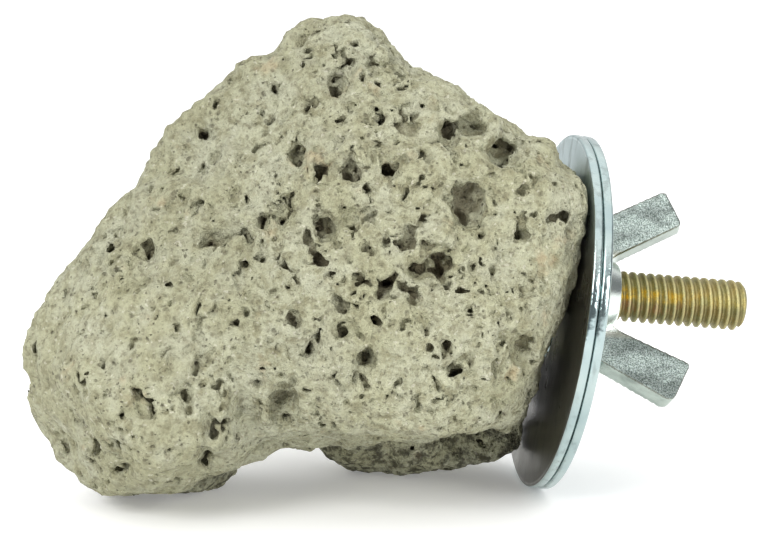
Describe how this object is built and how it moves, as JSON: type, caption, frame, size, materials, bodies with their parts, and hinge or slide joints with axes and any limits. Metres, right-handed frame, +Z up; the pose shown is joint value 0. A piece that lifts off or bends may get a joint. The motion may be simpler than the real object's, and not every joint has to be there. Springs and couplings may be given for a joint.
{
  "type": "lava rock",
  "caption": "Lump of pale porous lava rock with a threaded stud, large washers and a wing nut that clamp it to cage wires.",
  "frame": {"origin": "on the surface that the object lies on, under the middle of its box", "axes": "+X horizontally along the stud, away from the rock; +Z up"},
  "size_m": [0.11, 0.0622, 0.0719],
  "materials": {
    "lava_stone": "rough, open pores",
    "yellow_zinc": "yellow zinc plating",
    "bright_zinc": "bright zinc plating",
    "cast_zinc": "zinc plating over a grainy casting"
  },
  "bodies": {
    "stone": {"lava_rock": "lava_stone", "threaded_stud": "yellow_zinc", "washer_inner": "bright_zinc"},
    "outer_washer": {"washer_outer": "bright_zinc"},
    "wing_nut": {"wing_nut": "cast_zinc"}
  },
  "joints": [
    {"name": "clamp_slide", "type": "slide", "parent": "stone", "child": "outer_washer", "axis": [0.9953, 0, -0.0967], "range_m": [0, 0.01693]},
    {"name": "nut_turn", "type": "hinge", "parent": "outer_washer", "child": "wing_nut", "pos_m": [0.02734, -0.00093, 0.02981], "axis": [0.9953, 0, -0.0967], "range_deg": [0, 4320]}
  ],
  "couplings": [
    {"joint": "clamp_slide", "follows": "nut_turn", "m_per_rad": 0.00022459}
  ]
}
